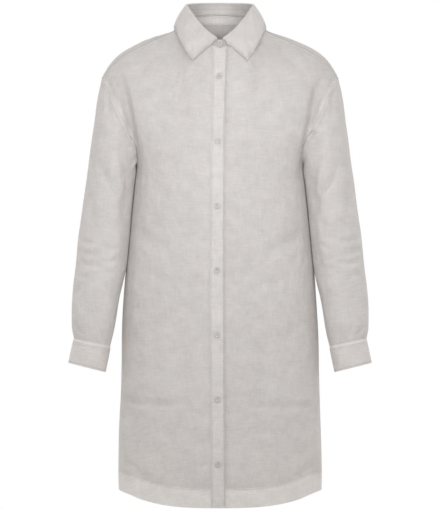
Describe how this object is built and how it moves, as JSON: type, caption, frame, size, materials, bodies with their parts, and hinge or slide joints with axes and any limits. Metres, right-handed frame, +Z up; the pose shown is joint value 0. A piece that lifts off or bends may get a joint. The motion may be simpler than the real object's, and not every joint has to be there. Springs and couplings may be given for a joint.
{
  "type": "long linen dress shirt",
  "caption": "Long button-front linen shirt with a folded collar, dropped shoulders, buttoned cuffs and a curved hem, filled out as worn.",
  "frame": {"origin": "on the centre plane at the height where the collar meets the shoulders, midway between chest and back, where the wearer's shoulders hold the shirt", "axes": "+Z up, the front faces -Y, the wearer's left is +X"},
  "size_m": [0.562, 0.251, 0.9344],
  "materials": {
    "linen": "matt natural linen with fine slubs",
    "button": "pale, satin"
  },
  "bodies": {
    "root": {"back": "linen", "front_left": "linen", "front_right": "linen", "placket": "linen", "sleeve_left": "linen", "sleeve_right": "linen", "cuff_left": "linen", "cuff_right": "linen", "collar_stand": "linen", "collar_leaf": "linen", "button_stand": "button", "button_1": "button", "button_2": "button", "button_3": "button", "button_4": "button", "button_5": "button", "button_6": "button", "button_7": "button", "cuff_button_left": "button", "cuff_button_right": "button"}
  },
  "joints": []
}
